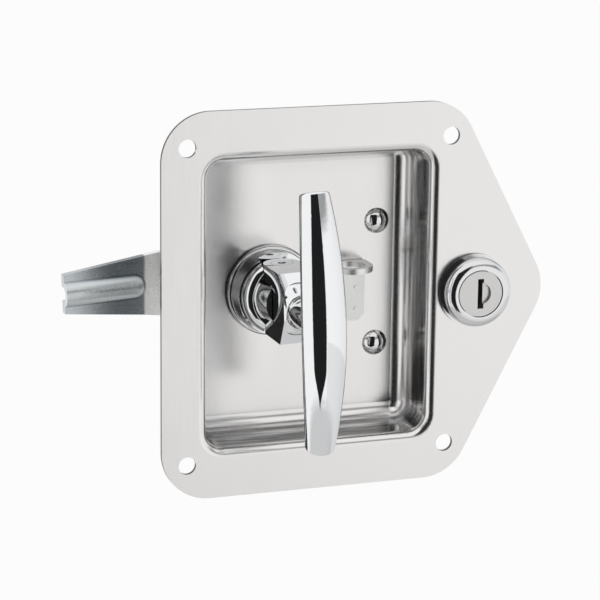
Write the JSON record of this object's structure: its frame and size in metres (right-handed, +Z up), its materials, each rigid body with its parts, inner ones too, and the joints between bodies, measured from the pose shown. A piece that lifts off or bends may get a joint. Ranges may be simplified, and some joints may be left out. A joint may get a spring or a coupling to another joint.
{
  "type": "paddle latch",
  "caption": "Flush dished door latch with a folding T-handle on a turning hub, a rear cam, a separate key lock that slides a bolt into a notched disc, and a padlock eye.",
  "frame": {"origin": "centre of the four mounting holes, on the rear face of the flange that seats on the door", "axes": "+Z up, +X to the right seen from the user, towards the key lock; +Y into the door, so the handle stands out along -Y"},
  "size_m": [0.1687, 0.1014, 0.1396],
  "materials": {
    "stainless": "brushed stainless sheet, bright walls",
    "eye_plate": "plain stainless plate, welded",
    "polished_rivets": "polished dome",
    "chrome_fixed": "satin to polished chrome",
    "chrome_rotor": "polished chrome",
    "chrome_handle": "mirror chrome",
    "zinc_cam": "bright zinc plate, a little dull",
    "zinc_plate": "zinc plate",
    "zinc_fasteners": "zinc plate",
    "rubber": "matte black",
    "spring_steel": "bare steel",
    "lock_chrome": "polished chrome, slightly soft",
    "plug_satin": "satin face"
  },
  "bodies": {
    "pan": {"pan": "stainless", "hub_gasket": "rubber", "hub_housing": "chrome_fixed", "hub_washer": "zinc_plate", "hub_nut": "zinc_fasteners", "padlock_eye": "eye_plate", "guide_rivets": "polished_rivets", "slide_guide": "zinc_plate", "lock_gasket": "rubber", "lock_body": "lock_chrome", "lock_washer": "zinc_plate", "lock_nut": "zinc_fasteners"},
    "rotor": {"rotor": "chrome_rotor", "rotor_o_ring": "rubber", "fold_pin": "chrome_rotor", "detent_spring": "spring_steel", "lock_disc": "zinc_plate", "cam_spacer": "zinc_plate", "cam": "zinc_cam", "cam_washer": "zinc_plate", "cam_nut": "zinc_fasteners"},
    "handle": {"handle": "chrome_handle"},
    "plug": {"lock_plug": "plug_satin", "crank": "zinc_plate", "crank_screw": "zinc_fasteners"},
    "slide": {"lock_slide": "zinc_plate"},
    "upper_ball": {"detent_ball_upper": "spring_steel"},
    "lower_ball": {"detent_ball_lower": "spring_steel"}
  },
  "joints": [
    {"name": "handle_turn", "type": "hinge", "parent": "pan", "child": "rotor", "pos_m": [-0.0116, 0, 0], "axis": [0, -1, 0], "range_deg": [-92.1, 0]},
    {"name": "handle_fold", "type": "hinge", "parent": "rotor", "child": "handle", "pos_m": [-0.0113, 0.006, 0.00001], "axis": [-0.0366, 0, 0.9993], "range_deg": [0, 90]},
    {"name": "key_turn", "type": "hinge", "parent": "pan", "child": "plug", "pos_m": [0.05911, 0, 0], "axis": [0, -1, 0], "range_deg": [0, 90]},
    {"name": "lock_slide_travel", "type": "slide", "parent": "pan", "child": "slide", "axis": [-1, 0, 0], "range_m": [0, 0.0099]},
    {"name": "upper_ball_travel", "type": "slide", "parent": "rotor", "child": "upper_ball", "axis": [-0.0366, 0, 0.9993], "range_m": [0, 0.00035], "stiffness_N_per_m": 300, "springref_m": 0.0005},
    {"name": "lower_ball_travel", "type": "slide", "parent": "rotor", "child": "lower_ball", "axis": [0.0366, 0, -0.9993], "range_m": [0, 0.00035], "stiffness_N_per_m": 300, "springref_m": 0.0005}
  ],
  "couplings": [
    {"joint": "key_turn", "follows": "lock_slide_travel", "rad_per_m": 158.66}
  ]
}
